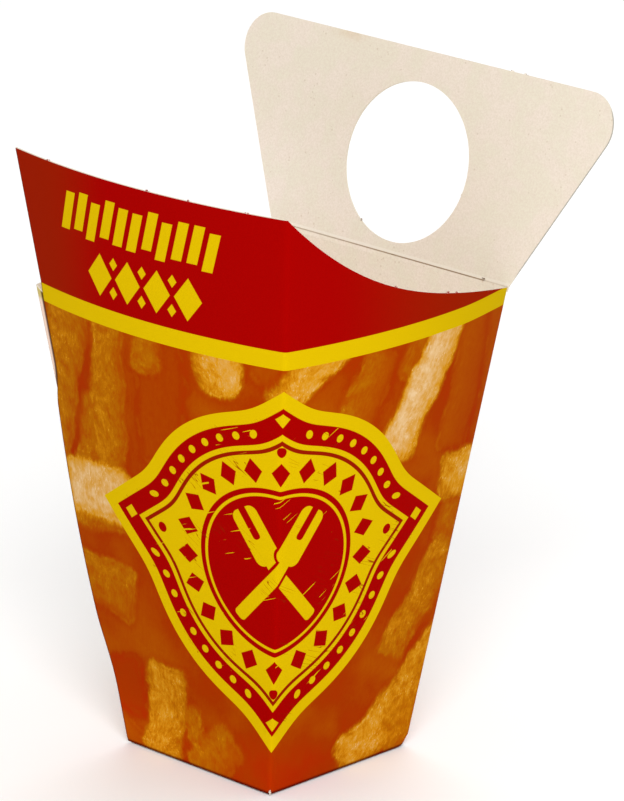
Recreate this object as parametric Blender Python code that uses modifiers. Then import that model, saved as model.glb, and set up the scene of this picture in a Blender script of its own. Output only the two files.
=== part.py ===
"""Folded paperboard carton for french fries, with a hinged flap that holds a dip pot.

The carton is one sheet of board: four leaning walls, a floor and a glue tab, folded and
glued at one corner. The front wall (-Y) stands tall, the right wall (+X) sweeps down to the
back, and the back wall (+Y) ends in a crease that carries the flap. Metres, +Z up, with
the origin at the middle of the floor's underside.
"""

import math

import bmesh
import bpy
from mathutils import Vector

# The cup
FOOT_SIDE = 0.055
MOUTH_SIDE = 0.090
CREASE_HEIGHT = 0.1338
BOARD = 0.0005
FRONT_BOW = 0.0060
RIGHT_BOW = 0.0054
LEFT_BOW = 0.0050

# The walls above the crease
TALL_RISE = 0.0378
SWEEP_HOOK = 0.0221
SWEEP_POWER = 4

# The corners pulled a little out of square by the bowed walls, at the mouth
FRONT_CORNER_SHIFT = (0.0004, 0.0024)
SEAM_CORNER_SHIFT = (-0.0054, 0.0)

# The glued seam at the left front corner
SEAM_GAP = 0.00025
SEAM_DROP = 0.0022
TAB_WIDTH = 0.012
TAB_TOP_SLOPE = 0.35
LAP_EDGE = 0.0005
LAP_SETTLE = 0.004
LAP_REACH = 0.0046
LAP_MIDDLE = 0.067
LAP_HALF_HEIGHT = 0.054
LAP_FOOT = (0.013, 0.038)
LAP_HEAD = (0.098, 0.111)

# The flap
FLAP_LEAN = math.radians(15.8)
FLAP_LENGTH = 0.0572
FLAP_TOP_WIDTH = 0.1504
FLAP_CORNER_RADIUS = 0.0093
FLAP_CREASE_GAP = 0.0006
HOLE_DIAMETER = 0.045
HOLE_HEIGHT = 0.0258

# Fineness of the faceted solids
WALL_ROWS = 22
TALL_ROWS = 4
FRONT_COLUMNS = 12
RIGHT_COLUMNS = 20
BACK_COLUMNS = 4
LEFT_COLUMNS = 10
TAB_COLUMNS = 3
CORNER_STEPS = 10
HOLE_STEPS = 72


def clear_scene():
    for thing in list(bpy.data.objects):
        bpy.data.objects.remove(thing, do_unlink=True)


def board_material(name, colour, roughness):
    material = bpy.data.materials.new(name)
    material.use_nodes = True
    shader = material.node_tree.nodes["Principled BSDF"]
    shader.inputs["Base Color"].default_value = (*colour, 1.0)
    shader.inputs["Roughness"].default_value = roughness
    shader.inputs["Metallic"].default_value = 0.0
    return material


def ramp(value, low, high):
    """0 below low and 1 above high, with a smooth turn between."""
    share = min(max((value - low) / (high - low), 0.0), 1.0)
    return share * share * (3 - 2 * share)


def corner(side_x, side_y, z, shift=(0.0, 0.0)):
    """A corner of the tapered cup at height z; its shift grows up to the crease height."""
    rise = z / CREASE_HEIGHT
    half = (FOOT_SIDE + (MOUTH_SIDE - FOOT_SIDE) * rise) / 2
    grown = min(rise, 1.0)
    return Vector((side_x * half + shift[0] * grown, side_y * half + shift[1] * grown, z))


def wall_point(start, end, share, bow, inset=0.0):
    """A point at a share of the way from start to end, pushed outwards by the wall's bow."""
    along = end - start
    outwards = Vector((along.y, -along.x, 0.0)).normalized()
    grown = min(start.z / CREASE_HEIGHT, 1.0)
    push = 4 * share * (1 - share) * bow * grown - inset
    return start + along * share + outwards * push


def lap(z):
    """How far the front wall's cut edge reaches past the corner line at height z."""
    settled = min(max((CREASE_HEIGHT - z) / LAP_SETTLE, 0.0), 1.0)
    arch = max(1 - ((z - LAP_MIDDLE) / LAP_HALF_HEIGHT) ** 2, 0.0)
    window = ramp(z, *LAP_FOOT) * (1 - ramp(z, *LAP_HEAD))
    return LAP_EDGE * settled + LAP_REACH * arch * window


def sweep(share):
    """Height of the right wall's top edge above the crease, from the front corner back."""
    left = 1 - share
    return SWEEP_HOOK * left**SWEEP_POWER + (TALL_RISE - SWEEP_HOOK) * left


def front_point(share, z):
    start = corner(-1, -1, z)
    end = corner(1, -1, z, FRONT_CORNER_SHIFT)
    lapped = share - lap(z) / (end - start).length * (1 - share)
    return wall_point(start, end, lapped, FRONT_BOW)


def right_point(share, z):
    return wall_point(corner(1, -1, z, FRONT_CORNER_SHIFT), corner(1, 1, z), share, RIGHT_BOW)


def back_point(share, z):
    return wall_point(corner(1, 1, z), corner(-1, 1, z), share, 0.0)


def tab_point(distance, z):
    """A point of the glue tab behind the front wall, a distance in from the seam's fold."""
    start = corner(-1, -1, z)
    end = corner(1, -1, z, FRONT_CORNER_SHIFT)
    fold = SEAM_CORNER_SHIFT[0] * min(z / CREASE_HEIGHT, 1.0)
    share = (fold + distance) / (end - start).length
    return wall_point(start, end, share, FRONT_BOW, inset=BOARD + SEAM_GAP)


def left_point(share, z):
    return wall_point(corner(-1, 1, z), tab_point(0.0, z), share, LEFT_BOW)


def column(point, share, top):
    """The column of points of one wall from the foot to the crease, then on to the top."""
    level = min(top, CREASE_HEIGHT)
    heights = [level * row / WALL_ROWS for row in range(WALL_ROWS + 1)]
    if top > CREASE_HEIGHT:
        step = (top - CREASE_HEIGHT) / TALL_ROWS
        heights += [CREASE_HEIGHT + step * row for row in range(1, TALL_ROWS + 1)]
    return [point(share, z) for z in heights]


def seam_side_top(share):
    """Height of the left wall's top edge, a little lower where it folds in at the seam."""
    return CREASE_HEIGHT - SEAM_DROP * ramp(share, 0.5, 1.0)


def shares(count, first=0):
    return [step / count for step in range(first, count + 1)]


def wall_columns():
    """Columns all the way round: front, right, back and left, corner by corner."""
    crease_end = CREASE_HEIGHT - FLAP_CREASE_GAP / 2
    top = CREASE_HEIGHT + TALL_RISE
    columns = [column(front_point, s, top) for s in shares(FRONT_COLUMNS)]
    columns += [column(right_point, s, CREASE_HEIGHT + sweep(s)) for s in shares(RIGHT_COLUMNS, 1)]
    columns += [column(back_point, s, CREASE_HEIGHT) for s in shares(BACK_COLUMNS, 1)]
    columns += [column(left_point, s, seam_side_top(s)) for s in shares(LEFT_COLUMNS, 1)]
    for points in columns:
        if points[0].y > FOOT_SIDE / 2 - 1e-6:
            points[WALL_ROWS].z = crease_end
    return columns


def add_strip(mesh, lower, upper):
    """Faces between two neighbouring columns; a shorter column closes with triangles."""
    rows = max(len(lower), len(upper)) - 1
    for row in range(rows):
        ring = [
            lower[min(row, len(lower) - 1)],
            upper[min(row, len(upper) - 1)],
            upper[min(row + 1, len(upper) - 1)],
            lower[min(row + 1, len(lower) - 1)],
        ]
        corners = list(dict.fromkeys(ring))
        if len(corners) > 2:
            mesh.faces.new(corners)


def add_tab(mesh, fold):
    """The glue tab, cut at a slant along its top, on from the seam's fold."""
    previous = fold[1:]
    for step in range(1, TAB_COLUMNS + 1):
        distance = TAB_WIDTH * step / TAB_COLUMNS
        low = fold[1].co.z + TAB_TOP_SLOPE * distance
        high = CREASE_HEIGHT - SEAM_DROP - TAB_TOP_SLOPE * distance
        count = len(previous) - 1
        heights = [low + (high - low) * row / count for row in range(count + 1)]
        current = [mesh.verts.new(tab_point(distance, z)) for z in heights]
        add_strip(mesh, previous, current)
        previous = current


def make_carton(collection):
    mesh = bmesh.new()
    columns = [[mesh.verts.new(p) for p in points] for points in wall_columns()]
    for here, there in zip(columns, columns[1:]):
        add_strip(mesh, here, there)
    add_tab(mesh, columns[-1])
    mesh.faces.new([points[0] for points in reversed(columns)])
    data = bpy.data.meshes.new("carton")
    mesh.to_mesh(data)
    mesh.free()
    carton = bpy.data.objects.new("carton", data)
    collection.objects.link(carton)
    board = carton.modifiers.new("board thickness", "SOLIDIFY")
    board.thickness = BOARD
    board.offset = -1.0
    board.use_even_offset = True
    board.use_quality_normals = True
    data.materials.append(board_material("printed board", (0.47, 0.09, 0.004), 0.5))
    return carton


def arc(centre, radius, start, end, steps):
    """Points along an arc between two angles in degrees."""
    points = []
    for step in range(steps + 1):
        angle = math.radians(start + (end - start) * step / steps)
        points.append((centre[0] + radius * math.cos(angle), centre[1] + radius * math.sin(angle)))
    return points


def flap_outline():
    """The flap's outline from its crease up, flaring to two rounded top corners."""
    half_crease = MOUTH_SIDE / 2
    half_top = FLAP_TOP_WIDTH / 2
    flare = math.degrees(math.atan2(half_top - half_crease, FLAP_LENGTH))
    inset = FLAP_CORNER_RADIUS * math.tan(math.radians((90 + flare) / 2))
    centre = (half_top - inset, FLAP_LENGTH - FLAP_CORNER_RADIUS)
    right = arc(centre, FLAP_CORNER_RADIUS, -flare, 90, CORNER_STEPS)
    left = [(-x, y) for x, y in reversed(right)]
    low = FLAP_CREASE_GAP / 2
    return [(half_crease, low), *right, *left, (-half_crease, low)]


def add_loop(curve, points):
    spline = curve.splines.new("POLY")
    spline.points.add(len(points) - 1)
    for slot, (x, y) in zip(spline.points, points):
        slot.co = (x, y, 0.0, 1.0)
    spline.use_cyclic_u = True


def make_flap(collection):
    curve = bpy.data.curves.new("dip_flap", "CURVE")
    curve.dimensions = "2D"
    curve.fill_mode = "BOTH"
    curve.extrude = BOARD / 2
    add_loop(curve, flap_outline())
    rim = arc((0.0, HOLE_HEIGHT), HOLE_DIAMETER / 2, 0, 360, HOLE_STEPS)
    add_loop(curve, rim[:-1])
    flap = bpy.data.objects.new("dip_flap", curve)
    collection.objects.link(flap)
    flap.location = (0.0, MOUTH_SIDE / 2 - BOARD / 2, CREASE_HEIGHT)
    flap.rotation_euler = (math.pi / 2 - FLAP_LEAN, 0.0, 0.0)
    curve.materials.append(board_material("bare board", (0.84, 0.73, 0.61), 0.85))
    return flap


clear_scene()
parts = bpy.data.collections.new("fries_carton")
bpy.context.scene.collection.children.link(parts)
make_carton(parts)
make_flap(parts)
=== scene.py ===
import math

import bmesh
import bpy
from mathutils import Matrix, Vector


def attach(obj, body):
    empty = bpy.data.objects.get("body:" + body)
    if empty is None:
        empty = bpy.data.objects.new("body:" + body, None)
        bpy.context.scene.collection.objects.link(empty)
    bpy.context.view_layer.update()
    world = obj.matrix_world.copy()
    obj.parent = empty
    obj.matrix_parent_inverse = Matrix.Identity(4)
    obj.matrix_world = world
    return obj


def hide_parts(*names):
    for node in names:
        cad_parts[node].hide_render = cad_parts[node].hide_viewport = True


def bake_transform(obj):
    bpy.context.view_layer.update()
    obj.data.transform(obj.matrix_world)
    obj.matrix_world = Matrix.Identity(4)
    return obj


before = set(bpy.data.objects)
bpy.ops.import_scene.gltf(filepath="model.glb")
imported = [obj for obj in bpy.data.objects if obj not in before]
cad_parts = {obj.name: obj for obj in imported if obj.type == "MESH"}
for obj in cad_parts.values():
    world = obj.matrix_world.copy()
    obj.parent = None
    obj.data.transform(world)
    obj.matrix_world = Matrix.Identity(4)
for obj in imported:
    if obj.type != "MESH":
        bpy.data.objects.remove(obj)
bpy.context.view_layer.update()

# --------------------------------------
# The studio: a plain pale floor, a long lens a little above the carton's front corner,
# and large soft lights. The floor rises far behind into the backdrop, with no edge.
# --------------------------------------

CAMERA_AZIMUTH = 43.67
CAMERA_ELEVATION = 17.88
CAMERA_ROLL = 1.0
CAMERA_DISTANCE = 1.4933
CAMERA_LENS = 244.05
SENSOR_WIDTH = 36.0
FRAMED_POINT = Vector((0.0, 0.0, 0.080))
FRAMED_RIGHT = 0.01088
FRAMED_UP = 0.01970

PALE_FLOOR = (0.96, 0.96, 0.955, 1.0)
FLOOR_REACH = 3.6
FLOOR_DROP = 0.0002
BACKDROP_START = 2.7
BACKDROP_RISE = 1.4
BACKDROP_STEPS = 12

LIT_POINT = Vector((0.0, 0.0, 0.09))
# name, azimuth, elevation, distance, size, watts
SOFT_LIGHTS = (
    ("key light", 46.0, 34.0, 2.2, 1.3, 34.0),
    ("side light", 120.0, 45.0, 1.6, 1.2, 1.5),
    ("back light", 215.0, 50.0, 1.4, 1.2, 7.0),
)
SKY_COLOUR = (1.0, 1.0, 1.0, 1.0)
SKY_STRENGTH = 0.52


def link_object(name, data):
    """A new object in the scene for a mesh, a camera or a light."""
    thing = bpy.data.objects.new(name, data)
    bpy.context.scene.collection.objects.link(thing)
    return thing


def finished_mesh(name, shape):
    """The mesh of a shape that has all its faces."""
    mesh = bpy.data.meshes.new(name)
    shape.to_mesh(mesh)
    shape.free()
    return mesh


def new_material(name, roughness, shine=0.5):
    """A material and its shader, set to how rough it is and how strongly it reflects."""
    material = bpy.data.materials.new(name)
    material.use_nodes = True
    shader = material.node_tree.nodes["Principled BSDF"]
    shader.inputs["Roughness"].default_value = roughness
    shader.inputs["Specular IOR Level"].default_value = shine
    return material, shader


def look(azimuth, elevation, roll=0.0):
    """Right, up and back directions of a camera or a light that looks at the carton."""
    a, e = math.radians(azimuth), math.radians(elevation)
    back = Vector((math.sin(a) * math.cos(e), -math.cos(a) * math.cos(e), math.sin(e)))
    level = Vector((math.cos(a), math.sin(a), 0.0))
    tilt = Matrix.Rotation(math.radians(roll), 3, back)
    return tilt @ level, tilt @ back.cross(level), back


def aim(thing, target, axes, distance):
    """Stands a camera or a light at a distance from its target, turned to face it."""
    right, up, back = axes
    thing.matrix_world = Matrix((right, up, back)).transposed().to_4x4()
    thing.location = target + back * distance


camera = link_object("camera", bpy.data.cameras.new("camera"))
bpy.context.scene.camera = camera
camera_axes = look(CAMERA_AZIMUTH, CAMERA_ELEVATION, CAMERA_ROLL)
framing = FRAMED_POINT + camera_axes[0] * FRAMED_RIGHT + camera_axes[1] * FRAMED_UP
aim(camera, framing, camera_axes, CAMERA_DISTANCE)
camera.data.lens = CAMERA_LENS
camera.data.sensor_width = SENSOR_WIDTH

backdrop = bmesh.new()
profile = [(-FLOOR_REACH, -FLOOR_DROP), (BACKDROP_START, -FLOOR_DROP)]
for step in range(1, BACKDROP_STEPS + 1):
    angle = math.radians(90 * step / BACKDROP_STEPS)
    profile.append((BACKDROP_START + math.sin(angle), (1 - math.cos(angle)) * BACKDROP_RISE))
turn = Matrix.Rotation(math.radians(CAMERA_AZIMUTH), 3, "Z")
rows = [
    [backdrop.verts.new(turn @ Vector((side * FLOOR_REACH, reach, height))) for side in (-1, 1)]
    for reach, height in profile
]
for near, far in zip(rows, rows[1:]):
    backdrop.faces.new((near[0], near[1], far[1], far[0])).smooth = True
floor_paint, floor_shader = new_material("pale floor", 0.9, shine=0.0)
floor_shader.inputs["Base Color"].default_value = PALE_FLOOR
studio_floor = link_object("studio_floor", finished_mesh("studio_floor", backdrop))
studio_floor.data.materials.append(floor_paint)

for name, azimuth, elevation, distance, size, watts in SOFT_LIGHTS:
    light = bpy.data.lights.new(name, "AREA")
    light.shape = "DISK"
    light.size = size
    light.energy = watts
    aim(link_object(name, light), LIT_POINT, look(azimuth, elevation), distance)
world = bpy.data.worlds.new("studio")
world.use_nodes = True
sky = world.node_tree.nodes["Background"]
sky.inputs["Color"].default_value = SKY_COLOUR
sky.inputs["Strength"].default_value = SKY_STRENGTH
bpy.context.scene.world = world
bpy.context.scene.view_settings.view_transform = "Standard"
bpy.context.scene.view_settings.look = "None"

# --------------------------------------
# The board: half a millimetre of pale recycled folding board, bare on the inside. Its cut
# edge shows the fibres, a little lighter than the face.
# --------------------------------------

VECTOR = "ShaderNodeVectorMath"


def adds(operation, kind="ShaderNodeMath", reflected=False, out=0):
    """A method of a wire that adds one Math node, or Vector Math node, for an operation."""

    def method(wire, *others):
        values = (*others, wire) if reflected else (wire, *others)
        return wire.node(kind, {"operation": operation}, dict(enumerate(values)), out)

    return method


class Wire:
    """One output of a node. Operators on it add Math nodes; node() adds any other node."""

    def __init__(self, tree, socket=None):
        self.tree = tree
        self.socket = socket

    def node(self, kind, settings=None, inputs=None, out=0):
        """Adds a node, sets it, then fills its sockets with values or wires."""
        made = self.tree.nodes.new(kind)
        for name, value in (settings or {}).items():
            if name == "stops":
                self.set_stops(made.color_ramp, value)
            else:
                setattr(made, name, value)
        for name, value in (inputs or {}).items():
            if isinstance(value, Wire):
                self.tree.links.new(value.socket, made.inputs[name])
            else:
                made.inputs[name].default_value = value
        return Wire(self.tree, made.outputs[out])

    def into(self, shader, name):
        """Joins this wire to one of the shader's sockets."""
        self.tree.links.new(self.socket, shader.inputs[name])

    def set_stops(self, ramp, stops):
        """Places a ramp's (position, colour) stops; a new ramp already has two."""
        for position, _ in stops[2:]:
            ramp.elements.new(position)
        for element, (position, colour) in zip(ramp.elements, stops):
            element.position = position
            element.color = colour

    __add__ = __radd__ = adds("ADD")
    __sub__ = adds("SUBTRACT")
    __rsub__ = adds("SUBTRACT", reflected=True)
    __mul__ = __rmul__ = adds("MULTIPLY")
    __truediv__ = adds("DIVIDE")
    __rtruediv__ = adds("DIVIDE", reflected=True)
    __pow__ = adds("POWER")
    __abs__ = adds("ABSOLUTE")
    __lt__ = adds("LESS_THAN")
    __gt__ = adds("GREATER_THAN")
    least = adds("MINIMUM")
    most = adds("MAXIMUM")
    soft_least = adds("SMOOTH_MIN")
    floor = adds("FLOOR")
    fraction = adds("FRACT")
    sine = adds("SINE")
    angle_from = adds("ARCTAN2")

    # The same for vectors and colours, which + - and * would turn into single numbers
    plus = adds("ADD", VECTOR)
    minus = adds("SUBTRACT", VECTOR)
    times = adds("MULTIPLY", VECTOR)
    absolute = adds("ABSOLUTE", VECTOR)
    at_least = adds("MAXIMUM", VECTOR)
    length = adds("LENGTH", VECTOR, out=1)
    unit = adds("NORMALIZE", VECTOR)
    cross = adds("CROSS_PRODUCT", VECTOR)

    def __neg__(self):
        return self * -1.0

    def clamp(self):
        return self.most(0.0).least(1.0)

    def ramp(self, start, end):
        """0 at start and 1 at end, or the other way round where end is the lower one."""
        ends = {"Value": self, "From Min": start, "From Max": end}
        return self.node("ShaderNodeMapRange", {"interpolation_type": "SMOOTHSTEP"}, ends)

    def scaled(self, amount):
        return self.node(VECTOR, {"operation": "SCALE"}, {0: self, "Scale": amount})

    def axis(self, index):
        return self.node("ShaderNodeSeparateXYZ", inputs={0: self}, out=index)

    def joined(self, x, y, z=0.0):
        return self.node("ShaderNodeCombineXYZ", inputs={0: x, 1: y, 2: z})

    def noise(self, scale, detail=2.0, roughness=0.5, out=0):
        """Soft noise at this point, from 0 to 1, or three of it with out=1."""
        inputs = {"Vector": self, "Scale": scale, "Detail": detail, "Roughness": roughness}
        return self.node("ShaderNodeTexNoise", None, inputs, out)

    def mix(self, share, first, second):
        """A colour between two, by share."""
        inputs = {0: share, 6: first, 7: second}
        return self.node("ShaderNodeMix", {"data_type": "RGBA"}, inputs, 2)

    def bump(self, strength, distance):
        """The way the surface faces with this height raised on it."""
        inputs = {"Strength": strength, "Distance": distance, "Height": self}
        return self.node("ShaderNodeBump", None, inputs)

    def object_point(self):
        """The place on the piece, in metres."""
        return self.node("ShaderNodeTexCoord", out=3)

    def attribute(self, name, out=1):
        """A vector that is kept on the sheet, or a number with out=2."""
        return self.node("ShaderNodeAttribute", {"attribute_name": name}, out=out)


def ink(red, green, blue):
    """A colour named in the printer's 0 to 255 scale, as the shader's linear light."""
    shares = [value / 255 for value in (red, green, blue)]
    linear = [v / 12.92 if v <= 0.04045 else ((v + 0.055) / 1.055) ** 2.4 for v in shares]
    return (*linear, 1.0)


BOARD = 0.0005

# The bare face: its colours, how strongly they show, and the scales of its mottling
BARE_FACE = ink(234, 221, 208)
BARE_YELLOWER = ink(229, 221, 202)
FACE_SHADE = ink(219, 205, 187)
FLECK = ink(186, 164, 136)
SHADE_STRENGTH = 0.85
FLECK_STRENGTH = 0.40
CLOUD_SCALE = 130.0
FIBRE_SCALE = 1700.0
FLECK_SCALE = 620.0
FLECK_PATCH_SCALE = 170.0
NAP_SCALE = 2600.0

# Painted light on the bare board, in metres across and above the flap's crease: it lifts the
# inside of the cup and the flap below its crease, which the walls shade, and the flap's low
# left, which the front wall shades. Then one spot of staining. Each pair is where a change
# starts and where it is whole.
INSIDE_PAINTED_LIGHT = (0.09, 0.09, 0.10)
INSIDE_LIGHT_BELOW = (0.0003, -0.0006)
LOW_LEFT_PAINTED_LIGHT = (0.07, 0.08, 0.11)
LOW_LEFT_LIGHT_UP = (0.038, 0.006)
LOW_LEFT_LIGHT_ACROSS = (0.024, -0.034)
STAIN = ink(206, 178, 138)
STAIN_STRENGTH = 0.34
STAIN_PLACE = (-0.0300, 0.0572, 1.0)
STAIN_STRETCH = (0.4, 1.0, 0.0)
STAIN_EDGE = (0.0056, 0.0022)
STAIN_WANDER = 0.004

# The cut score along the crease, painted as a line of shade that stops short on the right,
# and the raised ridge above it, painted as a highlight
SCORE_SHADE = ink(140, 110, 78)
SCORE_REACH = 0.036
SCORE_WIDTH = (0.0002108, 0.000102)
SCORE_SHADE_TO_RIGHT = (-0.045, 0.010)
SCORE_STOP = 0.0003
SCORE_PAST_STOP = 0.25
TORN_FIBRE = ink(238, 230, 216)
LIP_HEIGHT = 0.0006
LIP_WIDTH = (0.0005, 0.0002)
LIP_HIGHLIGHT_STRENGTH = 0.6


def bare_board(name, scored=False):
    """The uncoated inside: mottled fibre with a few flecks, and the flap's cut score. Painted
    light lifts the whole inside of the cup, and the flap below its crease and at its low left,
    where the walls shade them."""
    material, shader = new_material(name, 0.85, shine=0.3)
    wire = Wire(material.node_tree)
    point = wire.object_point()
    cloud = point.noise(CLOUD_SCALE, 3.0).ramp(0.38, 0.62)
    fibre = point.noise(FIBRE_SCALE, 4.0, 0.75)
    colour = wire.mix(cloud, BARE_FACE, BARE_YELLOWER)
    colour = wire.mix(fibre.ramp(0.28, 0.72) * SHADE_STRENGTH, colour, FACE_SHADE)
    cell = {"Vector": point, "Scale": FLECK_SCALE}
    speck = wire.node("ShaderNodeTexVoronoi", {"feature": "F1"}, cell)
    rare = point.noise(FLECK_PATCH_SCALE) > 0.60
    colour = wire.mix(speck.ramp(0.24, 0.10) * rare * FLECK_STRENGTH, colour, FLECK)
    inside_light, low_left_light = 1.0, 0.0
    if scored:
        blank = wire.attribute("blank")
        across, up = blank.axis(0), blank.axis(1)
        # Painted light below the crease and at the flap's low left, where the walls shade it
        inside_light = up.ramp(*INSIDE_LIGHT_BELOW)
        low_left_light = up.ramp(*LOW_LEFT_LIGHT_UP) * across.ramp(*LOW_LEFT_LIGHT_ACROSS)
        spot = blank.minus(STAIN_PLACE).times(STAIN_STRETCH)
        spread = spot.length() + blank.noise(500.0, 3.0) * STAIN_WANDER
        colour = wire.mix(spread.ramp(*STAIN_EDGE) * STAIN_STRENGTH, colour, STAIN)
        # Painted highlight on the ridge that the score raises
        lip_highlight = abs(up - LIP_HEIGHT).ramp(*LIP_WIDTH)
        colour = wire.mix(lip_highlight * LIP_HIGHLIGHT_STRENGTH, colour, TORN_FIBRE)
        # Painted shade in the score's groove, darker towards the right
        line = abs(up).ramp(*SCORE_WIDTH)
        wander = blank.noise(700.0, 3.0) * 0.5 + 0.6
        shade_to_right = across.ramp(*SCORE_SHADE_TO_RIGHT) * 0.5 + 0.5
        past_stop = across.ramp(SCORE_REACH, SCORE_REACH + SCORE_STOP)
        kept = 1.0 - past_stop * (1.0 - SCORE_PAST_STOP)
        colour = wire.mix(line * wander * shade_to_right * kept, colour, SCORE_SHADE)
    # Painted light, multiplied on: the cup's inside, and the flap below its crease and at its
    # low left
    lift = [inside_light * inner + low_left_light * worn + 1.0 for inner, worn in zip(INSIDE_PAINTED_LIGHT, LOW_LEFT_PAINTED_LIGHT)]
    lighter = wire.joined(*lift) if scored else tuple(lift)
    colour.times(lighter).into(shader, "Base Color")
    height = fibre + point.noise(NAP_SCALE) * 0.5
    height.bump(0.35, 0.00006).into(shader, "Normal")
    return material


CUT_FIBRE = ink(218, 208, 188)
CUT_FIBRE_SCALE = 1500.0
SHADED_FLANK_COLOUR = ink(150, 146, 136)
SHADED_FLANK_ACROSS = (0.044, 0.048)
SHADED_FLANK_BACK = (0.0452, 0.0462)
SHADED_FLANK_BELOW = (0.1862, 0.1840)


def cut_edge():
    """The die-cut edge: pressed fibre, with painted shade down the flap's two flanks, which face
    down and away from the light.
    """
    material, shader = new_material("cut edge", 0.9)
    wire = Wire(material.node_tree)
    point = wire.object_point()
    fibre = point.noise(CUT_FIBRE_SCALE, 3.0, 0.7).ramp(0.3, 0.7)
    colour = wire.mix(fibre * 0.5, CUT_FIBRE, FACE_SHADE)
    # Painted shade on the flap's flanks
    shaded_flank = abs(point.axis(0)).ramp(*SHADED_FLANK_ACROSS) * point.axis(1).ramp(*SHADED_FLANK_BACK)
    shaded_flank = shaded_flank * point.axis(2).ramp(*SHADED_FLANK_BELOW)
    wire.mix(shaded_flank * 0.8, colour, SHADED_FLANK_COLOUR).into(shader, "Base Color")
    fibre.bump(0.5, 0.0001).into(shader, "Normal")
    return material


bare_face = bare_board("bare board")
scored_face = bare_board("bare board with a score", scored=True)
raw_edge = cut_edge()

# --------------------------------------
# The print: offset ink under a thin varnish. A loose heap of chips covers the cup up to a
# yellow band; above it all is red. A stamped badge wraps round the front crease, and two
# rows of ornament stand on the red. The back walls carry the same sheet again.
# --------------------------------------

CREASE_HEIGHT = 0.1338
FOOT_SIDE = 0.055
MOUTH_SIDE = 0.090
LEAN = math.atan((MOUTH_SIDE - FOOT_SIDE) / 2 / CREASE_HEIGHT)

# The print is laid out in millimetres across and up the sheet
MM = 1000.0
BAND_TOP = CREASE_HEIGHT / math.cos(LEAN) * MM
BAND_WIDTH = 5.35
CORNER_LIFT = 0.6
INK_EDGE = 0.07
PRINT_ROUGHNESS = 0.42
PRINT_SHINE = 0.002

# Where the inks change across the walls and up from the foot, and where painted shade and
# painted light lie on them: the start and the end
RED_SHADE_RIGHT = (12.0, 70.0)
RED_SHADE_LEFT = (-58.0, -86.0)
YELLOW_SHADE_RIGHT = (20.0, 85.0)
BAND_DIP = (24.0, 2.0)
FOOT_PAINTED_LIGHT = (24.0, 3.0)
FOOT_FOLD_SHADE = (1.3, 0.55)
CAP_DEPTH = 5.6

PRINT_RED = ink(154, 2, 1)
SHADED_SIDE_RED = ink(144, 27, 1)
PRINT_YELLOW = ink(208, 174, 2)
SHADED_SIDE_YELLOW = ink(198, 166, 2)
LINE_RED = ink(140, 22, 2)
SHADED_FOOT_RED = ink(84, 8, 4)
CAP_YELLOW = ink(190, 176, 64)
UNPRINTED = ink(244, 214, 194)
SEAM_SHADE = ink(74, 38, 4)
CHIP_COLOURS = (
    (0.00, ink(165, 35, 1)),
    (0.20, ink(157, 51, 0)),
    (0.36, ink(164, 72, 1)),
    (0.52, ink(170, 97, 3)),
    (0.64, ink(188, 117, 8)),
    (0.75, ink(202, 139, 26)),
    (0.85, ink(205, 152, 72)),
    (1.00, ink(221, 188, 142)),
)
# Each chip: middle across and up, lean in degrees, half width, half length, tone, and how
# much darker its right side is. The lower ones in the list lie on top.
CHIPS = (
    (-67, 49, 84, 8.8, 16, 0.49, -0.08),
    (-40, 112, 4, 9.5, 20, 0.27, 0.02),
    (-81.8, 112, -12, 9.4, 32, 0.56, 0.08),
    (-68.4, 94, -12, 5.6, 14, 0.53, 0.04),
    (-60.4, 109, 0, 7.4, 34, 0.54, 0.1),
    (-45.4, 132, 1, 5.4, 13.5, 0.52, 0.04),
    (-21.4, 136, 2, 7.8, 18.5, 0.79, -0.12),
    (-4, 132, -22, 6.5, 9, 0.32, 0.04),
    (-66.5, 71.2, 6, 14, 5.4, 0.58, 0.06),
    (-66, 77.4, 3, 14.6, 8.2, 0.92, 0.02),
    (-55, 20, 10, 7.5, 9.5, 0.19, 0),
    (-52, 2.5, 70, 5.5, 10, 0.36, 0),
    (-28.6, 13, 24, 4, 6.5, 0.56, 0),
    (-20.5, 5, -42, 7.4, 11, 0.46, 0.1),
    (-40.2, 11, -6, 7.9, 19, 0.69, 0.06),
    (8.2, 127, -50, 5.9, 14, 0.78, -0.08),
    (27, 114, -24, 8, 18, 0.42, 0.1),
    (47.5, 126.5, -28, 5, 9, 0.44, 0),
    (52.8, 116.5, -33, 7.5, 24, 0.93, 0.07),
    (72, 112, -16, 8.5, 22, 0.33, 0.08),
    (86, 118, -6, 7, 34, 0.34, 0),
    (83, 58, -6, 8, 26, 0.4, 0),
    (60, 12, -12, 6, 15, 0.56, 0),
    (68, 64, -12, 6.5, 14, 0.45, 0.04),
    (72, 83.4, -4, 10.4, 7.4, 0.8, -0.12),
    (56.5, 46.5, -40, 7, 20, 0.57, 0.06),
    (59.5, 19.5, -50, 11.2, 23, 0.61, 0.15),
    (36, 7, -66, 7.2, 10.5, 0.76, 0.04),
)
CHIP_ROUNDING = 3.4
CHIP_RAGGED = 3.4
CHIP_WARP = (7.0, 7.0, 0.0)
CHIP_SHADOW = 0.045
CHIP_RIM = 0.10
GAP_TONE = 0.16
GAP_MOTTLE = 0.2
FOOT_GLOOM = 0.13
# The grain runs up the chips, and leans on those right of the front crease
GRAIN_STRETCH = (1.0, 0.46, 1.0)
GRAIN_LEAN = math.radians(28.0)
GRAIN_LEANS_FROM = 6.0


def inside(gap, edge=INK_EDGE):
    """1 within a shape and 0 outside, from the distance past its outline."""
    return gap.ramp(edge, -edge)


def placed(point, middle, lean=0.0):
    """The point as seen from a shape's own middle and lean."""
    turned = (0.0, 0.0, math.radians(lean))
    mapping = {"Vector": point, "Location": (*middle, 0.0), "Rotation": turned}
    return point.node("ShaderNodeMapping", {"vector_type": "TEXTURE"}, mapping)


def block_gap(local, half_width, half_height, rounding):
    """Distance past a block with rounded corners."""
    reach = (half_width - rounding, half_height - rounding, 0.0)
    return local.absolute().minus(reach).at_least((0.0, 0.0, 0.0)).length() - rounding


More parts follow.
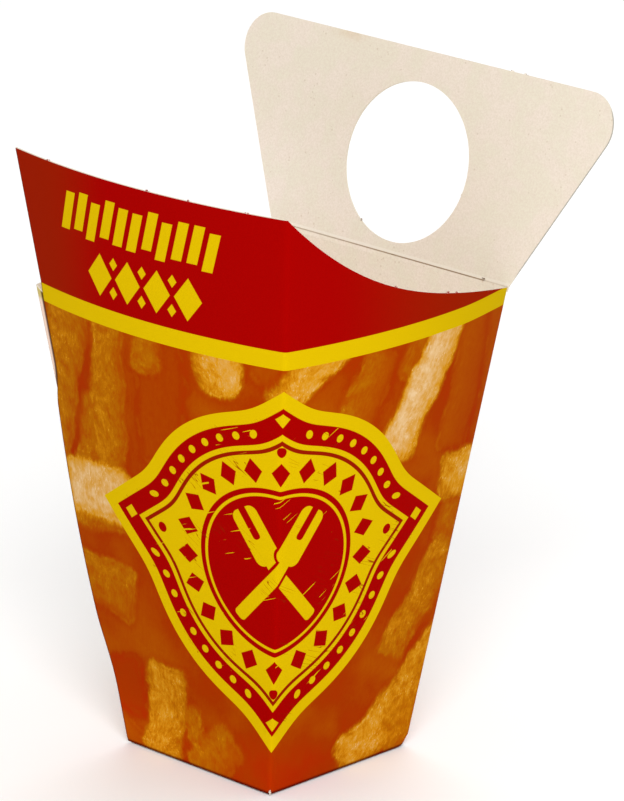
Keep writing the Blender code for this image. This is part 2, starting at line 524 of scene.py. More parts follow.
def chip_tone(point):
    """How light the heap of chips is: 0 in the gaps, 1 on a pale cut face."""
    wobble = point.noise(0.06, 1.0, out=1)
    loose = point.plus(wobble.minus((0.5, 0.5, 0.5)).times(CHIP_WARP))
    leaning = {"Vector": loose, "Angle": (loose.axis(0) > GRAIN_LEANS_FROM) * GRAIN_LEAN}
    grain_way = point.node("ShaderNodeVectorRotate", {"rotation_type": "Z_AXIS"}, leaning)
    streak = grain_way.times(GRAIN_STRETCH)
    ragged = (streak.noise(0.7, 3.0, 0.62) - 0.5) * CHIP_RAGGED
    crisp = point.noise(0.16, 1.0).ramp(0.44, 0.58)
    near_foot = point.axis(1).ramp(24.0, 4.0) * abs(point.axis(0)).ramp(46.0, 10.0)
    mottle = point.noise(0.05).ramp(0.3, 0.7) * GAP_MOTTLE
    tone = GAP_TONE + mottle - near_foot * FOOT_GLOOM
    for across, up, lean, half_width, half_length, light, side in CHIPS:
        local = placed(loose, (across, up), lean)
        gap = block_gap(local, half_width, half_length, CHIP_ROUNDING) + ragged
        across_chip = local.axis(0) * (side / half_width)
        edge = gap.ramp(-1.4 * CHIP_ROUNDING, 0.6) * (0.09 + 0.15 * light)
        rim = gap.ramp(-2.0, -1.1) * gap.ramp(0.2, -0.6) * crisp * CHIP_RIM
        tone = tone - inside(gap - 1.4, 1.6) * CHIP_SHADOW
        tone = tone + inside(gap, 1.3) * (light - across_chip - edge + rim - tone)
    pale = tone.ramp(0.68, 0.86)
    lively = 0.18 + tone.ramp(0.30, 0.62) * 0.50 - pale * 0.36
    grain = (streak.noise(0.95, 4.0, 0.8) - 0.5) * lively
    patch = point.noise(0.13, 1.0).ramp(0.42, 0.58)
    blotch = (loose.noise(0.26) - 0.5) * (tone.ramp(0.30, 0.50) * 0.42 - pale * 0.16)
    glint = streak.noise(1.7, 2.0, 0.6).ramp(0.58, 0.68) * patch * tone.ramp(0.40, 0.52)
    return tone + grain + blotch + glint * (0.26 - tone * 0.16)


def turned_round(point, count):
    """The share of the way across one of count equal sectors, from -0.5 to 0.5."""
    turns = point.axis(1).angle_from(point.axis(0)) * (count / math.tau)
    return turns.fraction() - 0.5


def lozenge(x, y, half_width, half_height):
    """1 within a lozenge."""
    gap = (abs(x) / half_width + abs(y) / half_height - 1.0) * min(half_width, half_height) * 0.7
    return inside(gap)


# The badge hangs on the front crease; its rings are measured inwards from its outline
BADGE_HEIGHT = 69.0
BADGE_ROUND = 47.0
BADGE_POINT = 63.0
BADGE_PEAK = 55.5
BADGE_MELT = 5.0
RED_RING = (3.8, 9.6)
BEAD_RING = 6.7
BEAD_COUNT = 44
BEAD_RADIUS = 1.15
BEADS_FROM_SIDE = (1.0, 10.0)
TIP_PLACES = (51.6, 46.7)
TIP_LOZENGE = (2.3, 2.1)
LINE_RING = 11.6
LINE_HALF = 0.55
SPOT_PLACES = (39.5, 37.2)
SPOT_RADIUS = 1.5
# The petals and the disc are measured from its middle
PETAL_RING = 30.4
PETAL_COUNT = 22
PETAL = (2.9, 3.6)
DISC_RADIUS = 25.5
DISC_LINE = 2.0
DISC_LINE_HALF = 0.45
SCUFF_RADIUS = 43.0
# The forks are crossed on the disc. Each part: middle up, half width, half height, rounding
FORK_LEAN = 36.0
FORK_MARGIN = 0.9
FORK_PARTS = ((-6.5, 1.9, 14.5, 1.2), (12.0, 4.4, 8.5, 2.4), (18.0, 1.25, 7.0, 1.0))


def two_prong_fork(point, lean, grow):
    """A wooden chip fork, grown by a margin."""
    local = placed(point, (0.0, 0.0), lean)
    handle, head, slot = (block_gap(placed(local, (0.0, up)), *part) for up, *part in FORK_PARTS)
    return inside(handle.least(head).most(-slot) - grow)


def on_points(point, places):
    """The point as seen from each of the badge's four points: right, left, top and bottom."""
    across, up = places
    return [placed(point, middle) for middle in ((across, 0), (-across, 0), (0, up), (0, -up))]


def scuffs(point, radius, outline):
    """Where the badge is scratched through to the yellow, and where fine cracks cross it."""
    stroke = placed(point, (0.0, 0.0), 28.0).times((0.05, 1.1, 1.0))
    scratch = stroke.noise(1.0).ramp(0.665, 0.68) * (point.noise(0.07, 1.0) > 0.52)
    stroke = placed(point, (0.0, 0.0), -31.0).times((0.045, 0.5, 1.0))
    worn = point.noise(0.085, 1.0).ramp(0.56, 0.60) * inside(outline + 3.0)
    crack = abs(stroke.noise(1.0, 1.0) - 0.47).ramp(0.011, 0.004) * worn
    return scratch * (radius < SCUFF_RADIUS), crack


def badge(colour, point):
    """A round badge with four points: yellow rim, beaded red ring, and a disc with forks."""
    across, up = abs(point.axis(0)) / BADGE_POINT, abs(point.axis(1)) / BADGE_PEAK
    slope = BADGE_POINT * BADGE_PEAK / math.hypot(BADGE_POINT, BADGE_PEAK)
    corner = (across + up - 1.0) * slope
    radius = point.length()
    outline = corner.soft_least(radius - BADGE_ROUND, BADGE_MELT)
    colour = point.mix(inside(outline), colour, PRINT_YELLOW)
    red = inside(outline + RED_RING[0]) * (1.0 - inside(outline + RED_RING[1]))
    bead = turned_round(point, BEAD_COUNT) * radius * (math.tau / BEAD_COUNT)
    beads = inside(point.joined(bead, outline + BEAD_RING).length() - BEAD_RADIUS)
    half_turn = turned_round(point, 2)
    from_side = abs(half_turn + 0.5 - (half_turn > 0.0)) * (BEAD_COUNT / 2)
    first, last = BEADS_FROM_SIDE
    red = red * (1.0 - beads * (from_side > first) * (from_side < last))
    for tip in on_points(point, TIP_PLACES):
        red = red * (1.0 - lozenge(tip.axis(0), tip.axis(1), *TIP_LOZENGE))
    petal = turned_round(point, PETAL_COUNT) * radius * (math.tau / PETAL_COUNT)
    disc = inside(radius - DISC_RADIUS)
    red = red.most(lozenge(petal, radius - PETAL_RING, *PETAL)).most(disc)
    for spot in on_points(point, SPOT_PLACES):
        red = red.most(inside(spot.length() - SPOT_RADIUS))
    red = red * (1.0 - inside(abs(radius - DISC_RADIUS + DISC_LINE) - DISC_LINE_HALF))
    for lean in (FORK_LEAN, -FORK_LEAN):
        red = red.most(two_prong_fork(point, lean, FORK_MARGIN) * disc)
        red = red * (1.0 - two_prong_fork(point, lean, 0.0))
    scratch, crack = scuffs(point, radius, outline)
    line = inside(abs(outline + LINE_RING) - LINE_HALF) * (1.0 - scratch)
    colour = point.mix(red * (1.0 - scratch), colour, PRINT_RED)
    return point.mix(line.most(crack * 0.8), colour, LINE_RED)


# The ornament's two rows. Each row: height, then how far left of the front crease its middle
# and its first step lie, and its step
STICK_ROW = (160.6, 49.3, 78.4, 5.3)
STICKS = 11
STICK = (1.75, 5.7)
STICK_LEAN = 0.22
STICK_STAGGER = 1.1
LOZENGE_ROW = (144.6, 46.5, 68.1, 10.8)
LARGE_LOZENGE = (4.7, 6.3)
SMALL_LOZENGE = (1.5, 1.9)
SMALL_LOZENGE_RISE = 4.3


def ornament_rows(across, up):
    """A row of leaning sticks over a row of lozenges, left of the middle of the front wall."""
    height, middle, start, step = STICK_ROW
    rise = up - height
    slanted = across - rise * STICK_LEAN
    number = (slanted + start) / step
    stick = abs(number.fraction() - 0.5) * step
    stagger = (number.floor() * 2.4).sine() * STICK_STAGGER
    sticks = (stick - STICK[0]).most(abs(rise - stagger) - STICK[1])
    upper = inside(sticks) * inside(abs(slanted + middle) - STICKS / 2 * step - 0.1)

    height, middle, start, step = LOZENGE_ROW
    rise = up - height
    place = ((across + start) / step).fraction() - 0.5
    large = lozenge(place * step, rise, *LARGE_LOZENGE)
    between = (place + 1.0).fraction() - 0.5
    small = lozenge(between * step, abs(rise) - SMALL_LOZENGE_RISE, *SMALL_LOZENGE)
    from_middle = abs(across + middle)
    large = large * inside(from_middle - 2.0 * step)
    return upper.most(large + small * inside(from_middle - 1.6 * step))


def printed_face():
    """Every ink on the sheet's outside, laid out from each pair of walls' shared crease, with
    painted shade and painted light laid over them.
    """
    material, shader = new_material("printed face", PRINT_ROUGHNESS, PRINT_SHINE)
    wire = Wire(material.node_tree)
    blank = wire.attribute("blank")
    round_sheet, up, wall = blank.axis(0) * MM, blank.axis(1) * MM, blank.axis(2) * MM
    rear = round_sheet > wall
    across = round_sheet - rear * wall * 2.0
    point = across.joined(across, up)
    heap = {"Fac": chip_tone(point)}
    colour = wire.node("ShaderNodeValToRGB", {"stops": CHIP_COLOURS}, heap)
    badge_up = up * (1 / math.cos(LEAN)) - abs(across) * math.sin(LEAN) - BADGE_HEIGHT
    colour = badge(colour, across.joined(across * math.cos(LEAN), badge_up))
    # Painted shade: the red more brown and the yellow duller towards the walls' far sides, which
    # turn away from the light
    red_side_shade = across.ramp(*RED_SHADE_RIGHT).most(across.ramp(*RED_SHADE_LEFT) * 0.9)
    red = wire.mix(red_side_shade, PRINT_RED, SHADED_SIDE_RED)
    yellow = wire.mix(across.ramp(*YELLOW_SHADE_RIGHT), PRINT_YELLOW, SHADED_SIDE_YELLOW)
    lifted = up - abs(round_sheet - wall).ramp(*BAND_DIP) * CORNER_LIFT
    colour = wire.mix(inside(BAND_TOP - BAND_WIDTH - lifted), colour, yellow)
    colour = wire.mix(inside(BAND_TOP - lifted), colour, red)
    colour = wire.mix(ornament_rows(across, up) * (1.0 - rear), colour, yellow)
    # Painted light near the foot, against the shade that the floor and the cup bring there
    foot_light = 1.0 + up.ramp(*FOOT_PAINTED_LIGHT) * (0.06 + across.ramp(25.0, -10.0) * 0.12)
    colour = colour.times(wire.joined(foot_light, foot_light, foot_light))
    # Painted shade on the foot's turned-under fold
    colour = wire.mix(up.ramp(*FOOT_FOLD_SHADE) * 0.8, colour, SHADED_FOOT_RED)
    crack = abs(across) * 1.7 + up.ramp(0.6, 3.4) * 0.8 + point.noise(1.6, 3.0, 0.8)
    colour = wire.mix(crack.ramp(0.74, 0.58), colour, TORN_FIBRE)

    # The folded edge of the left wall behind the seam carries no ink, but for a little yellow
    trim = wire.attribute("trim", out=2) * MM
    seam_fold = wall * 3.0
    unprinted = round_sheet > seam_fold + 0.45
    colour = wire.mix(unprinted, colour, UNPRINTED)
    inked_cap = unprinted * inside(BAND_TOP - CAP_DEPTH - up, 1.0) * 0.75
    colour = wire.mix(inked_cap, colour, CAP_YELLOW)
    # Painted shade along the tab's outer fold
    fold_shade = abs(round_sheet - seam_fold - 0.3).ramp(0.5, 0.1)
    colour = wire.mix(fold_shade * 0.45, colour, SCORE_SHADE)
    # Painted shadow of the front wall's cut edge on the tab, and a dark line just inside that
    # edge on the print
    seam_shade = trim.ramp(2.5, 1.5) * unprinted + trim.ramp(0.6, 0.2) * (1.0 - unprinted) * 0.6
    wire.mix(seam_shade * 0.95, colour, SEAM_SHADE).into(shader, "Base Color")
    return material


# --------------------------------------
# The cup: one sheet folded at four upright creases, with a glue tab behind the front wall.
# The walls bow out as they rise. The front wall stands tall and the right wall's top edge
# sweeps down to the back corner, where the back wall stops just under the flap's crease.
# --------------------------------------

CREASE_STRIP = 0.0013
COLUMNS_PER_WALL = 40
TAB_COLUMNS = 12
WALLS = 4

CUP_SIZES = {
    "columns": WALLS * COLUMNS_PER_WALL + TAB_COLUMNS + 1,
    "rows": 90,
    "foot side": FOOT_SIDE,
    "crease height": CREASE_HEIGHT,
    "tall rise": 0.0378,
    "sweep hook": 0.0221,
    "crease strip": CREASE_STRIP,
    "fold radius": 0.0007,
    "foot radius": 0.0004,
    "crush reach": 0.0034,
    "crush depth": 0.0007,
    "underside bleed": 0.0030,
    "front bow": 0.0060,
    "right bow": 0.0054,
    "left bow": 0.0050,
    "seam spread": 0.0054,
    "seam drop": 0.0022,
    "tab inset": BOARD + 0.0002,
    "tab slope": 0.35,
    "lap edge": 0.0005,
    "lap reach": 0.0046,
    "lap middle": 0.067,
    "lap half height": 0.054,
    "lap head": 0.111,
}
FRONT_CORNER_SHIFT = (0.0004, 0.0024)
LAP_FOOT = (0.013, 0.038)
LAP_FADE = 0.013
LAP_SETTLE = 0.004
BOW_EASE = 0.2
# How far the sheet's columns crowd towards its folds, and its rows towards its foot
COLUMN_CROWD = 0.965
ROW_CROWD = 0.84
# Keeps a point that lies on a fold to one side of it
HAIR = 0.0001


def turned_fold(distance, radius):
    """How far a line has come past a fold, easing round it with the fold's radius."""
    return (distance + (distance * distance + radius * radius) ** 0.5) * 0.5


def top_height(trip, size):
    """Height of the sheet's top edge, on a trip round it that counts 1 for each wall."""
    back = (trip > 2.0 + HAIR) * (trip < 3.0 - HAIR)
    left_over = 1.0 - (trip - 1.0).clamp()
    hook = size["sweep hook"]
    rise = hook * left_over**4.0 + (size["tall rise"] - hook) * left_over
    tab_reach = (trip - 4.0).most(0.0) * MOUTH_SIDE
    rise = rise - back * size["crease strip"] - tab_reach * size["tab slope"]
    rise = rise - trip.ramp(3.5, 4.0) * size["seam drop"]
    return size["crease height"] + rise


def lap_reach(height, size):
    """How far the front wall's cut edge stands past its corner."""
    arch = (1.0 - ((height - size["lap middle"]) / size["lap half height"]) ** 2.0).most(0.0)
    head = size["lap head"]
    window = height.ramp(*LAP_FOOT) * height.ramp(head, head - LAP_FADE)
    settled = ((size["crease height"] - height) / LAP_SETTLE).clamp()
    return size["lap edge"] * settled + size["lap reach"] * arch * window


def keep_value(shape, name, value, kind):
    """The shape with a value kept on its points for its material."""
    settings = {"data_type": kind, "domain": "POINT"}
    inputs = {"Geometry": shape, "Name": name, "Value": value}
    return shape.node("GeometryNodeStoreNamedAttribute", settings, inputs)


def cup_surface(start, size):
    """The folded sheet's printed face, from its cut edge at the seam round to the tab."""
    counts = {"Vertices X": size["columns"], "Vertices Y": size["rows"]}
    grid = start.node("GeometryNodeMeshGrid", inputs={"Size X": 1.0, "Size Y": 1.0, **counts})
    place = start.node("GeometryNodeInputPosition")
    across = (place.axis(0) + 0.5) * (WALLS + TAB_COLUMNS / COLUMNS_PER_WALL)
    wall = (across + HAIR).floor()
    share = across - wall
    trip = wall + (share - (share * math.tau).sine() * (COLUMN_CROWD / math.tau))
    up = place.axis(1) + 0.5

    # Up the sheet, and the lean of its walls
    top = top_height(trip, size) * (1 / math.cos(LEAN))
    bleed = size["underside bleed"]
    slant = (top + bleed) * (up * (1 - ROW_CROWD) + up * up * ROW_CROWD) - bleed
    climbed = turned_fold(slant, size["foot radius"])
    half = size["foot side"] * 0.5 + climbed * math.sin(LEAN) - (climbed - slant)
    height = climbed * math.cos(LEAN)
    grown = (height / size["crease height"]).soft_least(1.0, BOW_EASE)
    width = half * 2.0

    # The lapped seam, and how far each point lies from the sheet's cut edges there
    lap = lap_reach(height, size)
    on_tab = size["seam spread"] * grown - lap - (trip - 4.0) * width
    on_front = trip.least(1.0) * width
    trim = on_front * (trip < 2.0) + on_tab * (trip > 3.0) + (trip > 2.0) * (trip < 3.0)
    trip = trip - lap / width * (1.0 - trip).most(0.0)

    # The corners at this height, then the walls between them and how they bow
    first = start.joined(-half, -half)
    shift_x, shift_y = FRONT_CORNER_SHIFT
    front = start.joined(half + grown * shift_x, grown * shift_y - half)
    right = start.joined(half, half)
    rear = start.joined(-half, half)

    def outward(along):
        return along.cross((0.0, 0.0, 1.0)).unit()

    def bowed(part, bow):
        return part * (1.0 - part) * 4.0 * bow * grown

    front_run = front.minus(first)
    front_out = outward(front_run)
    seam_share = -(size["seam spread"] * grown / width)
    seam_push = bowed(seam_share, size["front bow"]) - size["tab inset"]
    seam = first.plus(front_run.scaled(seam_share)).plus(front_out.scaled(seam_push))
    right_run, rear_run, left_run = right.minus(front), rear.minus(right), seam.minus(rear)

    radius = size["fold radius"] / width
    past = [turned_fold(trip - corner, radius) for corner in (1.0, 2.0, 3.0, 4.0)]
    runs = (
        (front_run, trip - past[0]),
        (right_run, past[0] - past[1]),
        (rear_run, past[1] - past[2]),
        (left_run, past[2] - past[3]),
        (front_run, past[3]),
    )
    point = first
    for run, amount in runs:
        point = point.plus(run.scaled(amount))
    bows = (
        (front_run, trip.least(1.0), size["front bow"]),
        (right_run, (trip - 1.0).clamp(), size["right bow"]),
        (left_run, (trip - 3.0).clamp(), size["left bow"]),
    )
    for run, part, bow in bows:
        point = point.plus(outward(run).scaled(bowed(part, bow)))
    tab_bow = bowed(seam_share + past[3], size["front bow"])
    tab_push = tab_bow - bowed(seam_share, size["front bow"])
    point = point.plus(front_out.scaled(tab_push)).plus(start.joined(0.0, 0.0, height))

    # The foot's right back corner is crushed a little, where the cup was set down on it
    near = (1.0 - abs(trip - 2.0) * width / size["crush reach"]).most(0.0)
    crushed = near * near * (1.0 - height / size["crush reach"]).most(0.0) * size["crush depth"]
    point = point.plus(start.joined(-crushed, -crushed, crushed * 0.8))

    blank = start.joined((trip - 1.0) * width, slant, width)
    sheet = keep_value(grid, "blank", blank, "FLOAT_VECTOR")
    sheet = keep_value(sheet, "trim", trim, "FLOAT")
    return start.node("GeometryNodeSetPosition", inputs={"Geometry": sheet, "Position": point})


def settle(piece):
    """Gives a piece the plain mesh that its modifiers make, in place of them."""
    graph = bpy.context.evaluated_depsgraph_get()
    mesh = bpy.data.meshes.new_from_object(piece.evaluated_get(graph), depsgraph=graph)
    piece.modifiers.clear()
    piece.data = mesh
    mesh.name = piece.name
    return mesh


def grown_mesh(name, sizes, build, material, base=None):
    """A plain mesh from a Geometry Nodes tree that has the sizes as its named inputs."""
    tree = bpy.data.node_groups.new(name, "GeometryNodeTree")
    for way in ("OUTPUT", "INPUT"):
        tree.interface.new_socket(name="Geometry", in_out=way, socket_type="NodeSocketGeometry")
    sockets = {}
    for key, value in sizes.items():
        kind = "NodeSocketInt" if isinstance(value, int) else "NodeSocketFloat"
        sockets[key] = tree.interface.new_socket(name=key, in_out="INPUT", socket_type=kind)
    entry = tree.nodes.new("NodeGroupInput")
    given = {key: Wire(tree, entry.outputs[key]) for key in sizes}
    shape = build(Wire(tree, entry.outputs[0]), given)
    whole = shape.node("GeometryNodeRealizeInstances", inputs={"Geometry": shape})
    coated = {"Geometry": whole, "Material": material}
    dressed = shape.node("GeometryNodeSetMaterial", inputs=coated)
    leave = tree.nodes.new("NodeGroupOutput")
    tree.links.new(dressed.socket, leave.inputs[0])
    piece = link_object(name, base.copy() if base else bpy.data.meshes.new(name))
    modifier = piece.modifiers.new(name, "NODES")
    modifier.node_group = tree
    for key, value in sizes.items():
        modifier[sockets[key].identifier] = value
    settle(piece)
    return piece


def thicken(piece, faces):
    """Gives a sheet its thickness behind the printed face, and hard edges where it is cut."""
    piece.data.materials.clear()
    for material in faces:
        piece.data.materials.append(material)
    board = piece.modifiers.new("thickness", "SOLIDIFY")
    board.thickness = BOARD
    board.offset = -1.0
    board.use_even_offset = True
    board.use_quality_normals = True
    board.material_offset = 1
    board.material_offset_rim = 2
    mesh = settle(piece)
    mesh.shade_smooth()
    mesh.set_sharp_from_angle(angle=math.radians(55))


print_face = printed_face()
cup = grown_mesh("folded_cup", CUP_SIZES, cup_surface, print_face)
thicken(cup, (print_face, bare_face, raw_edge))
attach(cup, "carton")
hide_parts("carton")

# --------------------------------------
# The flap: the same sheet carried on above the back wall's crease, flared and rounded, with
# a round hole that holds a dip pot. The crease is part cut through, so the board bends there.
# --------------------------------------

FLAP_LEAN = math.radians(15.8)
FLAP_LENGTH = 0.0572
FLAP_TOP_HALF = 0.0752
FLAP_CORNER = 0.0093
CORNER_STEPS = 14
OUTLINE_STEP = 0.0016
HOLE_RADIUS = 0.0225
HOLE_HEIGHT = 0.0258
# Shares of the way from the hole's rim to the outline, where the sheet's rings of points lie
RING_SHARES = (0.0, 0.02, 0.15, 0.4, 0.7, 0.95, 1.0)
# The rows of points across the crease, in millimetres above it, and how much half the sheet
# widens for each millimetre above the crease and below it
STRIP_LINES = (0.9, 0.55, 0.3, 0.16, 0.08, 0.0, -0.08, -0.16, -0.3, -0.55, -0.9, -1.3)
FLARE_ABOVE = 0.52
FLARE_BELOW = 0.13
CREASE_BEND = 0.0004
SCORE_DEPTH = 0.00018


def flap_place(x, distance):
    """A point of the flap's printed face, a distance above or below its crease."""
    bend = (distance + math.hypot(distance, CREASE_BEND)) / 2
    below = bend - distance
    y = MOUTH_SIDE / 2 + bend * math.sin(FLAP_LEAN) - below * math.sin(LEAN)
    z = CREASE_HEIGHT + bend * math.cos(FLAP_LEAN) - below * math.cos(LEAN)
    return Vector((x, y, z))


def flap_edge_points():
    """The flap's outline above its crease strip, anticlockwise from the crease's right end."""
    half_crease = MOUTH_SIDE / 2
    flare = math.atan2(FLAP_TOP_HALF - half_crease, FLAP_LENGTH)
    inset = FLAP_CORNER * math.tan((math.pi / 2 + flare) / 2)
    centre = Vector((FLAP_TOP_HALF - inset, FLAP_LENGTH - FLAP_CORNER))
    right = [Vector((half_crease + CREASE_STRIP * math.tan(flare), CREASE_STRIP))]
    for step in range(CORNER_STEPS + 1):
        angle = -flare + (math.pi / 2 + flare) * step / CORNER_STEPS
        right.append(centre + FLAP_CORNER * Vector((math.cos(angle), math.sin(angle))))
    left = [Vector((-point.x, point.y)) for point in reversed(right)]
    corners = right + left + [right[0]]
    points = []
    for here, there in zip(corners, corners[1:]):
        count = max(1, round((there - here).length / OUTLINE_STEP))
        points += [here.lerp(there, step / count) for step in range(count)]
    return points


def flap_sheet():
    """The flap's printed face: rings from its hole to its outline, then rows over the crease."""
    shape = bmesh.new()
    blank = shape.verts.layers.float_vector.new("blank")

    def add(x, distance):
        vertex = shape.verts.new(flap_place(x, distance))
        vertex[blank] = (x, distance, 1.0)
        return vertex

    outline = flap_edge_points()
    middle = Vector((0.0, HOLE_HEIGHT))
    rim = [middle + (point - middle).normalized() * HOLE_RADIUS for point in outline]
    rings = []
    for share in RING_SHARES:
        places = [inner.lerp(outer, share) for inner, outer in zip(rim, outline)]
        rings.append([add(place.x, place.y) for place in places])
    for inner, outer in zip(rings, rings[1:]):
        for index in range(len(inner)):
            near, far = inner[index - 1], inner[index]
            shape.faces.new((near, far, outer[index], outer[index - 1]))
    foot = [vertex for vertex, point in zip(rings[-1], outline) if point.y < CREASE_STRIP + 1e-7]
    foot.sort(key=lambda vertex: vertex.co.x)
    for line in STRIP_LINES:
        distance = line / MM
        flare = FLARE_ABOVE if distance > 0 else FLARE_BELOW
        widen = (MOUTH_SIDE / 2 + distance * flare) / foot[-1].co.x
        row = [add(vertex.co.x * widen, distance) for vertex in foot]
        for index in range(1, len(row)):
            shape.faces.new((foot[index - 1], foot[index], row[index], row[index - 1]))
        foot = row
    bmesh.ops.recalc_face_normals(shape, faces=shape.faces)
    shape.normal_update()
    if sum(face.normal.y * face.calc_area() for face in shape.faces) < 0:
        bmesh.ops.reverse_faces(shape, faces=shape.faces)
    return finished_mesh("dip_flap_board", shape)


def flap_print():
    """The flap's outside: plain red, carried on from the cup's red top."""
    material, shader = new_material("flap print", PRINT_ROUGHNESS, PRINT_SHINE)
    wire = Wire(material.node_tree)
    blank = wire.attribute("blank")
    lift = (MOUTH_SIDE / 2 - blank.axis(0)).ramp(0.024, 0.002) * CORNER_LIFT
    red = inside(lift - blank.axis(1) * MM)
    wire.mix(red, PRINT_YELLOW, PRINT_RED).into(shader, "Base Color")
    return material


def press_score(mesh):
    """Sinks the cut score into the bare side of the flap's crease."""
    blank = mesh.attributes["blank"].data
    for vertex in mesh.vertices:
        across, distance, _ = blank[vertex.index].vector
        face = flap_place(across, distance)
        depth = (vertex.co - face).length
        if depth > BOARD / 2 and abs(distance) < 1e-5 and across < SCORE_REACH:
            vertex.co = vertex.co.lerp(face, SCORE_DEPTH / depth)


flap = link_object("dip_flap_board", flap_sheet())
thicken(flap, (flap_print(), scored_face, raw_edge))
press_score(flap.data)
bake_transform(flap)
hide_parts("dip_flap")

# --------------------------------------
# The floor: four flaps folded in from the foot of the walls and glued over each other, the
# front one outermost, then the back one, then the two side flaps with their slanted ends.
# --------------------------------------

FLOOR_HALF = FOOT_SIDE / 2 - CUP_SIZES["underside bleed"]
LAYER_STEP = BOARD + 0.00005
FLOOR_LIFT = 0.0001
# Half the width of a flap's root, where its root and its end lie, and how much it narrows
FRONT_FLAP = (FLOOR_HALF - 0.0004, -FLOOR_HALF, 0.0150, 0.0030)
BACK_FLAP = (FLOOR_HALF - 0.0008, FOOT_SIDE / 2 - 0.0015, -0.0080, 0.0050)
SIDE_FLAP = ((0.0260, -0.0235), (0.0260, 0.0235), (0.0105, 0.0150), (0.0105, -0.0150))
COATED_FACE = ink(244, 234, 222)
COATED_SHADE = ink(232, 214, 198)
COATED_SCALE = 90.0


def floor_flap(side, root, end, slope):
    """The outline of a flap that narrows evenly from its root to its end."""
    return ((-side, root), (side, root), (side - slope, end), (slope - side, end))


def add_floor_flap(shape, outline, layer):
    """Lays a flap over the ones below, with its own coated, bare and cut faces."""
    low = FLOOR_LIFT + layer * LAYER_STEP
    rings = [[shape.verts.new((x, y, low + lift)) for x, y in outline] for lift in (0.0, BOARD)]
    shape.faces.new(rings[0]).material_index = 0
    shape.faces.new(rings[1]).material_index = 1
    for index in range(len(outline)):
        corners = (rings[0][index - 1], rings[0][index], rings[1][index], rings[1][index - 1])
        shape.faces.new(corners).material_index = 2


def unprinted_face():
    """The sheet's coated side where no ink lies: whiter and smoother than the inside."""
    material, shader = new_material("unprinted face", 0.6)
    wire = Wire(material.node_tree)
    cloud = wire.object_point().noise(COATED_SCALE, 3.0).ramp(0.3, 0.7)
    wire.mix(cloud * 0.35, COATED_FACE, COATED_SHADE).into(shader, "Base Color")
    return material


floor_shape = bmesh.new()
add_floor_flap(floor_shape, floor_flap(*FRONT_FLAP), 0)
add_floor_flap(floor_shape, floor_flap(*BACK_FLAP), 1)
add_floor_flap(floor_shape, SIDE_FLAP, 2)
add_floor_flap(floor_shape, [(-x, y) for x, y in SIDE_FLAP], 2)
bmesh.ops.recalc_face_normals(floor_shape, faces=floor_shape.faces)
floor_flaps = link_object("floor_flaps", finished_mesh("floor_flaps", floor_shape))
for material in (unprinted_face(), bare_face, raw_edge):
    floor_flaps.data.materials.append(material)
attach(floor_flaps, "carton")

# --------------------------------------
# The nicks: where small bridges held the sheet in its die, and were torn, a tuft of paper
# fibre stands out of the cut edge. One more tuft shows at the worn front corner of the foot.
# --------------------------------------

# Millimetres round the cup and across the flap, and degrees round the hole
CUP_NICKS = (-84.3, -45.4, -30.6, -11.4, 38.2, 60.3, 63.0)
FLAP_TOP_NICKS = (30.4, 35.3)
HOLE_NICKS = (237.0, 348.0)
FRONT_FOOT = Vector((FOOT_SIDE / 2, -FOOT_SIDE / 2, 0.0009))
TUFT_SIZES = {
    "fibres": 18,
    "fibre length": 0.00050,
    "fibre thickness": 0.00011,
    "spread": 0.00045,
    "sink": 0.00008,
    "fan": 0.8,
    "seed": 7,
}
WORN_TUFT_SIZES = {**TUFT_SIZES, "fibres": 26, "fibre length": 0.0006, "spread": 0.0005}
FIBRE_SIDES = 5
FIBRE_TAPER = 0.3
FIBRE_LENGTHS = (0.5, 1.2)
BURR_SHADE = ink(150, 130, 112)
UP_WAY = Vector((0.0, 0.0, 1.0))
FRONT_WAY = Vector((0.0, -1.0, 0.0))
RIGHT_WAY = Vector((1.0, 0.0, 0.0))


def tufts(start, size):
    """Short tapering fibres in a low row along the cut edge, fanned round the way out of it."""
    copies = {"Geometry": start, "Amount": size["fibres"]}
    points = start.node("GeometryNodeDuplicateElements", {"domain": "POINT"}, copies)

    def random(kind, low, high, step):
        first, out = (0, 0) if kind == "FLOAT_VECTOR" else (2, 1)
        inputs = {first: low, first + 1: high, 8: size["seed"] + float(step)}
        return start.node("FunctionNodeRandomValue", {"data_type": kind}, inputs, out)

    def kept(name):
        kind = {"data_type": "FLOAT_VECTOR"}
        return start.node("GeometryNodeInputNamedAttribute", kind, {"Name": name})

    way, face = kept("way"), kept("face")
    aside = way.cross(face).unit().scaled(random("FLOAT", -1.0, 1.0, 1) * size["spread"])
    through = face.scaled(random("FLOAT", -0.4, 0.4, 4) * BOARD)
    offset = aside.plus(through).minus(way.scaled(size["sink"]))
    row = start.node("GeometryNodeSetPosition", inputs={"Geometry": points, "Offset": offset})
    fan = random("FLOAT_VECTOR", (-1.0, -1.0, -1.0), (1.0, 1.0, 1.0), 2).scaled(size["fan"])
    aimed = {"Vector": way.plus(fan)}
    turn = start.node("FunctionNodeAlignRotationToVector", {"axis": "Z"}, aimed)
    cone = {
        "Vertices": FIBRE_SIDES,
        "Radius Top": size["fibre thickness"] * FIBRE_TAPER,
        "Radius Bottom": size["fibre thickness"],
        "Depth": size["fibre length"],
    }
    fibre = start.node("GeometryNodeMeshCone", inputs=cone)
    stretch = start.joined(1.0, 1.0, random("FLOAT", *FIBRE_LENGTHS, 3))
    strewn = {"Points": row, "Instance": fibre, "Rotation": turn, "Scale": stretch}
    return start.node("GeometryNodeInstanceOnPoints", inputs=strewn)


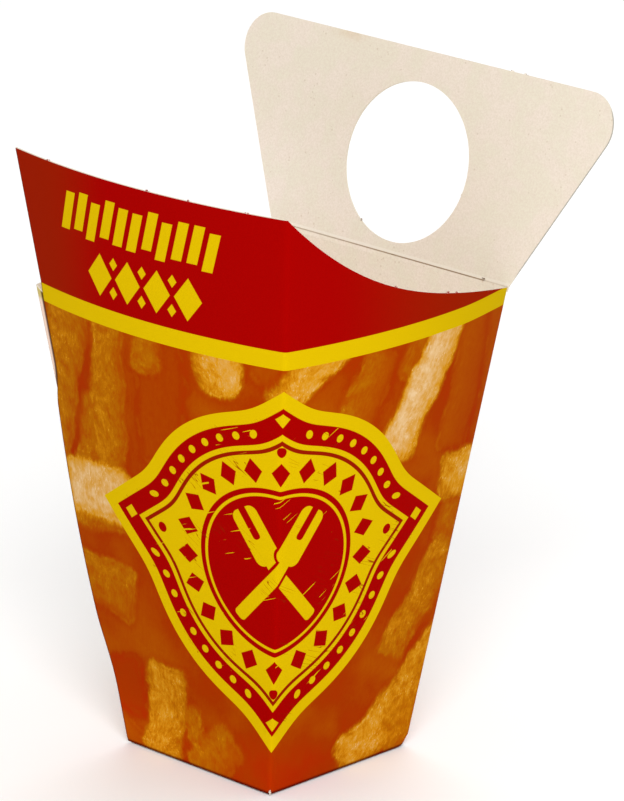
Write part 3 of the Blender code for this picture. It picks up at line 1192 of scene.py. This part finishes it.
def nick_points(name, nicks):
    """A mesh of bare points, each with the way its fibres stand and the way its board faces."""
    mesh = bpy.data.meshes.new(name)
    mesh.from_pydata([place for place, _, _ in nicks], [], [])
    for column, key in ((1, "way"), (2, "face")):
        stored = mesh.attributes.new(key, "FLOAT_VECTOR", "POINT")
        for item, nick in zip(stored.data, nicks):
            item.vector = nick[column]
    return mesh


def cup_edge(across):
    """The middle of the cup's top edge at a distance round from the front crease."""
    blank = cup.data.attributes["blank"].data
    near = [v.co for v in cup.data.vertices if abs(blank[v.index].vector[0] * MM - across) < 1.3]
    top = max(point.z for point in near)
    edge = [point for point in near if point.z > top - 0.0001]
    return sum(edge, Vector()) / len(edge)


def torn_fibre(name, covered, ink_and_shade):
    """Bare fibre, with a share of it in another colour: the ink it still carries on the cup and
    foot, and painted shade on the flap's shadowed burrs.
    """
    material, shader = new_material(name, 0.95, shine=0.1)
    wire = Wire(material.node_tree)
    share = (wire.object_point().noise(1400.0, 1.0) < covered) * 0.9
    wire.mix(share, TORN_FIBRE, ink_and_shade).into(shader, "Base Color")
    return material


cup_nicks = [(cup_edge(x), UP_WAY, FRONT_WAY if x < 0 else RIGHT_WAY) for x in CUP_NICKS]
inked_fibre = torn_fibre("torn printed fibre", 0.55, PRINT_RED)
cup_points = nick_points("cup_nicks", cup_nicks)
cup_fibres = grown_mesh("cup_fibres", TUFT_SIZES, tufts, inked_fibre, cup_points)
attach(cup_fibres, "carton")

flap_up = (flap_place(0.0, 0.05) - flap_place(0.0, 0.04)).normalized()
bare_way = Vector((0.0, -math.cos(FLAP_LEAN), math.sin(FLAP_LEAN)))
half_sheet = bare_way * BOARD / 2
flap_nicks = []
for across in FLAP_TOP_NICKS:
    flap_nicks.append((flap_place(across / MM, FLAP_LENGTH) + half_sheet, flap_up, bare_way))
for degrees in HOLE_NICKS:
    side, rise = math.cos(math.radians(degrees)), math.sin(math.radians(degrees))
    place = flap_place(side * HOLE_RADIUS, HOLE_HEIGHT + rise * HOLE_RADIUS) + half_sheet
    flap_nicks.append((place, flap_up * -rise - Vector((side, 0.0, 0.0)), bare_way))
flap_nicks.append((flap_place(SCORE_REACH, 0.0004) + half_sheet * 2.0, bare_way, flap_up))
# The flap's burrs stand in shadow: painted shade greys half their fibre
shaded_burr_fibre = torn_fibre("torn bare fibre", 0.50, BURR_SHADE)
flap_points = nick_points("flap_nicks", flap_nicks)
flap_fibres = grown_mesh("flap_fibres", TUFT_SIZES, tufts, shaded_burr_fibre, flap_points)
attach(flap_fibres, "dip_flap")

foot_nick = (FRONT_FOOT, Vector((0.7, -0.7, 0.6)), Vector((0.7, 0.7, 0.0)))
worn_fibre = torn_fibre("worn foot fibre", 0.20, PRINT_RED)
foot_points = nick_points("foot_nick", [foot_nick])
foot_fibres = grown_mesh("foot_fibres", WORN_TUFT_SIZES, tufts, worn_fibre, foot_points)
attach(foot_fibres, "carton")
